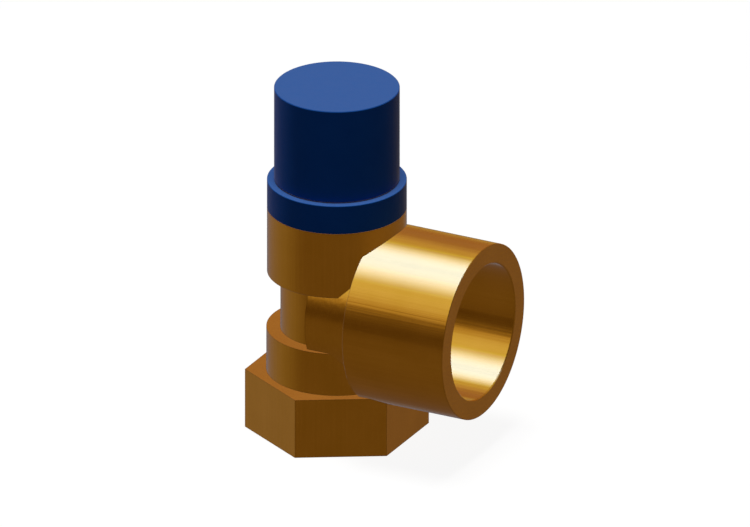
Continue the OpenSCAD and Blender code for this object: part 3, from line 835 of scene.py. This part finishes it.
# %% [markdown]
# ## Blend the panels
# The cards come first and the zones over them. All zones would meet in a point straight to the
# left and right, so they fade out on the way there. The cards end above the foot of the room, and
# the far card stays low, so that it doesn't reach the upper rim of the hub.

# %% Blend the panels into the room
CARDS_FOOT, CARDS_TOP = -0.75, -0.45
ZONES_FADE_FROM, ZONES_FADE_TO = 0.60, 0.85
FAR_CARD_FULL, FAR_CARD_TOP = -0.40, -0.25

room = ROOM_TONE
above_foot = soft_step(ray["Z"], CARDS_FOOT, CARDS_TOP)
for name, target, start, full, light in CARDS:
    share = maths(room_tree, "MULTIPLY", soft_step(towards(target), start, full), above_foot)
    room = blend(room_tree, share, room, light, label=name)
sideways = maths(room_tree, "ABSOLUTE", ray["X"])
upright = maths(room_tree, "SUBTRACT", 1.0, soft_step(sideways, ZONES_FADE_FROM, ZONES_FADE_TO))
for name, first, last, softness, light in ROOM_ZONES:
    inside = maths(
        room_tree, "SUBTRACT", soft_step(swing, first - softness, first + softness),
        soft_step(swing, last - softness, last + softness),
    )
    share = maths(room_tree, "MULTIPLY", inside, upright)
    room = blend(room_tree, share, room, light, label=name)
name, target, start, full, light = FAR_CARD
low = maths(room_tree, "SUBTRACT", 1.0, soft_step(ray["Z"], FAR_CARD_FULL, FAR_CARD_TOP))
share = maths(room_tree, "MULTIPLY", between(room_tree, towards(target), start, full), low)
room = blend(room_tree, share, room, light, label=name)
print("blended", len(CARDS) + len(ROOM_ZONES) + 1, "panels")

# %% [markdown]
# ## The lacquer's strip, and who sees what
# The lacquer on the brass is so smooth that its reflections are singular rays. For those the room
# is dark but for one bright strip overhead, with soft edges, so that the lacquer adds its cream
# band and puts no grey veil over the rest. The zone strip_back dims the panel at the same angle,
# because gold and cream together would be brighter than white.
# Only reflections see the painted room. Rays that light the plastic see a dim one, and the
# camera sees plain white behind the valve.

# %% Add the strip and finish the world
ROOM_DIM = 0.055
STRIP_RISE, STRIP_FALL, STRIP_LEVEL = (56, 88), (100, 128), 7.4

overhead = maths(
    room_tree, "SUBTRACT", soft_step(swing, *STRIP_RISE), soft_step(swing, *STRIP_FALL)
)
share = maths(room_tree, "MULTIPLY", overhead, upright)
level = maths(room_tree, "MULTIPLY", share, STRIP_LEVEL)
strip = add_node(room_tree, "ShaderNodeCombineColor", {0: level, 1: level, 2: level}).outputs[0]
from_lacquer = add_node(room_tree, "ShaderNodeLightPath").outputs["Is Singular Ray"]
from_camera, from_shine = ray_kinds(room_tree)
mirrored = blend(room_tree, from_lacquer, room, strip)
whole = blend(room_tree, from_shine, (ROOM_DIM,) * 3, mirrored)
room_tree.links.new(blend(room_tree, from_camera, whole, (1, 1, 1)), background.inputs["Color"])
print("world has", len(room_tree.nodes), "nodes")

# %% [markdown]
# ## The lamps that light the plastic
# A lamp of P watts at d metres gives a surface that faces it about P / (pi d)^2 of what a white
# world at strength 1 would give, so the power for a wanted level is known without trying. One
# softbox hangs overhead at a level near 1, where the blue top renders about as its colour is
# written. It hangs almost straight above, so the upright sides of the cap stay dark, as in the
# picture. A small one stands low on the left and slightly behind, at a quarter of that level,
# and draws a soft blue edge down the cap's left side. Neither shows in reflections, because what
# the brass mirrors is the painted room.

# %% Hang the softboxes
# name, place, size and level
LAMPS = [
    ("softbox_overhead", (0.02, -0.06, 1.0), 0.32, 0.80),
    ("softbox_left", (-0.975, 0.22, 0.06), 0.12, 0.24),
]
for name, spot, size, level in LAMPS:
    lamp = bpy.data.lights.new(name, "AREA")
    lamp.shape = "SQUARE"
    lamp.size = size
    lamp.energy = level * (math.pi * Vector(spot).length) ** 2
    softbox = bpy.data.objects.new(name, lamp)
    softbox.location = spot
    softbox.rotation_euler = softbox.location.to_track_quat("Z", "Y").to_euler()
    softbox.visible_glossy = False
    bpy.context.scene.collection.objects.link(softbox)
    print(name, "has", round(lamp.energy, 2), "W")

# %% [markdown]
# ## Clean reflections
# The picture's brass mirrors the room and nothing else: the hub doesn't show the collar above it,
# and the bore is lit as if no wall stood before it. Each piece is therefore hidden from rays that
# a shiny surface sends out. It still shows to the camera, and it still blocks the lamp and casts
# its shadow.

# %% Hide the pieces from reflections
for piece in bpy.context.scene.objects:
    if piece.type == "MESH" and piece != floor:
        piece.visible_glossy = False
print("reflections show the room alone")

# %% [markdown]
# The picture is rendered as it is, with no film curve over it, so that the blue comes out as it
# was mixed.

# %% Set the colour
bpy.context.scene.view_settings.view_transform = "Standard"
